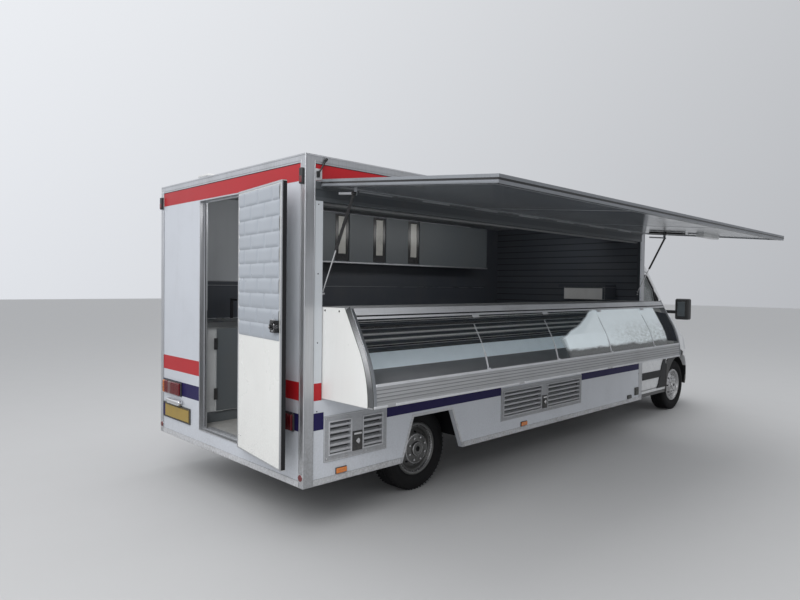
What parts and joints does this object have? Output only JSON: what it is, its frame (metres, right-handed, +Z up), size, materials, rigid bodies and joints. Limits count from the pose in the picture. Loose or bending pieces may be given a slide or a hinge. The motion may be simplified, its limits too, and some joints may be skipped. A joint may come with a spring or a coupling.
{
  "type": "food truck",
  "caption": "Food truck: van cab, box body, fold-up canopy over the serving hatch, curved glass showcase that slides out, rear door.",
  "frame": {"origin": "on the ground, in the middle of the whole footprint with the canopy open", "axes": "+X forward, +Y to the vehicle's left, +Z up"},
  "size_m": [7.6376, 4.0177, 2.5932],
  "materials": {
    "chassis_steel": "satin black paint",
    "engine": "bare casting",
    "floor": "worn grey floor covering",
    "white_panel": "gloss white with red and blue stripes",
    "aluminium": "satin anodised",
    "vent": "satin light grey louvres",
    "cabinet": "white with dark grey doors",
    "steel": "brushed",
    "dark_panel": "dark grey laminate",
    "box_white": "matte white",
    "lamp_red": "red and clear lenses",
    "plate": "blank yellow plate",
    "lamp_amber": "amber and red lenses",
    "door_white": "quilted grey and plain white",
    "lock": "chrome and black",
    "canopy": "dark gloss underside, white top",
    "lamp_white": "white lens",
    "strut_black": "gloss black",
    "rod_steel": "bright",
    "case_white": "white laminate",
    "glass": "clear",
    "cab_paint": "gloss white",
    "bumper_black": "grained black",
    "lamp_clear": "clear lens",
    "dash_grey": "grained dark grey",
    "seat_cloth": "dark woven cloth",
    "tyre": "worn rubber",
    "wheel_steel": "bright steel trim"
  },
  "bodies": {
    "body": {"chassis_rails": "chassis_steel", "cross_members": "chassis_steel", "rear_axle": "chassis_steel", "front_suspension": "chassis_steel", "engine_block": "engine", "body_floor": "floor", "roof_panel": "white_panel", "rear_wall": "white_panel", "door_frame": "aluminium", "front_wall": "white_panel", "left_wall": "white_panel", "right_wall": "white_panel", "corner_profiles": "aluminium", "arch_trims": "aluminium", "hatch_rails": "aluminium", "vent_grilles": "vent", "back_cabinet": "cabinet", "worktop_sink": "steel", "upper_cabinet": "dark_panel", "wall_box": "box_white", "tail_lamps": "lamp_red", "number_plate": "plate", "marker_lamps": "lamp_amber", "cab_shell": "cab_paint", "cab_front": "cab_paint", "windscreen": "glass", "front_bumper": "bumper_black", "headlamps": "lamp_clear", "front_grille": "bumper_black", "dashboard": "dash_grey", "cab_seats": "seat_cloth"},
    "rear_door": {"rear_door": "door_white", "door_lock": "lock"},
    "canopy": {"canopy_panel": "canopy", "canopy_profiles": "aluminium", "canopy_lamp": "lamp_white"},
    "strut_cylinders": {"strut_cylinders": "strut_black"},
    "strut_rods": {"strut_rods": "rod_steel"},
    "showcase": {"showcase_body": "case_white", "showcase_profiles": "aluminium", "showcase_glass": "glass"},
    "cab_door_left": {"cab_door_left": "cab_paint", "door_glass_left": "glass", "mirror_left": "bumper_black"},
    "cab_door_right": {"cab_door_right": "cab_paint", "door_glass_right": "glass", "mirror_right": "bumper_black"},
    "knuckle_left": {"knuckle_left": "chassis_steel"},
    "knuckle_right": {"knuckle_right": "chassis_steel"},
    "wheel_rear_left": {"tyre_rear_left": "tyre", "rim_rear_left": "wheel_steel"},
    "wheel_front_left": {"tyre_front_left": "tyre", "rim_front_left": "wheel_steel"},
    "wheel_rear_right": {"tyre_rear_right": "tyre", "rim_rear_right": "wheel_steel"},
    "wheel_front_right": {"tyre_front_right": "tyre", "rim_front_right": "wheel_steel"}
  },
  "joints": [
    {"name": "wheel_rear_left_spin", "type": "hinge", "parent": "body", "child": "wheel_rear_left", "pos_m": [-2.30423, 1.426, 0.349], "axis": [0, 1, 0], "continuous": true},
    {"name": "wheel_front_left_spin", "type": "hinge", "parent": "knuckle_left", "child": "wheel_front_left", "pos_m": [2.93377, 1.426, 0.349], "axis": [0, 1, 0], "continuous": true},
    {"name": "steering_left", "type": "hinge", "parent": "body", "child": "knuckle_left", "pos_m": [2.93377, 1.28, 0.349], "axis": [0, 0, 1], "range_deg": [-35, 35]},
    {"name": "cab_door_left_hinge", "type": "hinge", "parent": "body", "child": "cab_door_left", "pos_m": [2.46727, 1.6113, 0.9], "axis": [0, 0, -1], "range_deg": [0, 65]},
    {"name": "wheel_rear_right_spin", "type": "hinge", "parent": "body", "child": "wheel_rear_right", "pos_m": [-2.30423, -0.186, 0.349], "axis": [0, 1, 0], "continuous": true},
    {"name": "wheel_front_right_spin", "type": "hinge", "parent": "knuckle_right", "child": "wheel_front_right", "pos_m": [2.93377, -0.186, 0.349], "axis": [0, 1, 0], "continuous": true},
    {"name": "steering_right", "type": "hinge", "parent": "body", "child": "knuckle_right", "pos_m": [2.93377, -0.04, 0.349], "axis": [0, 0, 1], "range_deg": [-35, 35]},
    {"name": "cab_door_right_hinge", "type": "hinge", "parent": "body", "child": "cab_door_right", "pos_m": [2.46727, -0.3713, 0.9], "axis": [0, 0, 1], "range_deg": [0, 65]},
    {"name": "rear_door_hinge", "type": "hinge", "parent": "body", "child": "rear_door", "pos_m": [-3.63523, 0.242, 1.45], "axis": [0, 0, 1], "range_deg": [-172, 0]},
    {"name": "canopy_hinge", "type": "hinge", "parent": "body", "child": "canopy", "pos_m": [-1.02623, -0.516, 2.385], "axis": [1, 0, 0], "range_deg": [0, 84.7]},
    {"name": "strut_cylinder_pivot", "type": "hinge", "parent": "canopy", "child": "strut_cylinders", "pos_m": [-1.08623, -0.8006, 2.3134], "axis": [1, 0, 0], "range_deg": [-103.33, 0]},
    {"name": "strut_rod_slide", "type": "slide", "parent": "strut_cylinders", "child": "strut_rods", "axis": [0, -0.446, 0.895], "range_m": [0, 0.30979]},
    {"name": "showcase_slide", "type": "slide", "parent": "body", "child": "showcase", "axis": [0, 1, 0], "range_m": [0, 0.545]}
  ],
  "couplings": [
    {"joint": "steering_right", "follows": "steering_left", "ratio": 1},
    {"joint": "strut_cylinder_pivot", "follows": "canopy_hinge", "ratio": -1.22},
    {"joint": "strut_rod_slide", "follows": "canopy_hinge", "m_per_rad": 0.20956},
    {"joint": "showcase_slide", "follows": "canopy_hinge", "m_per_rad": 0.36866}
  ]
}
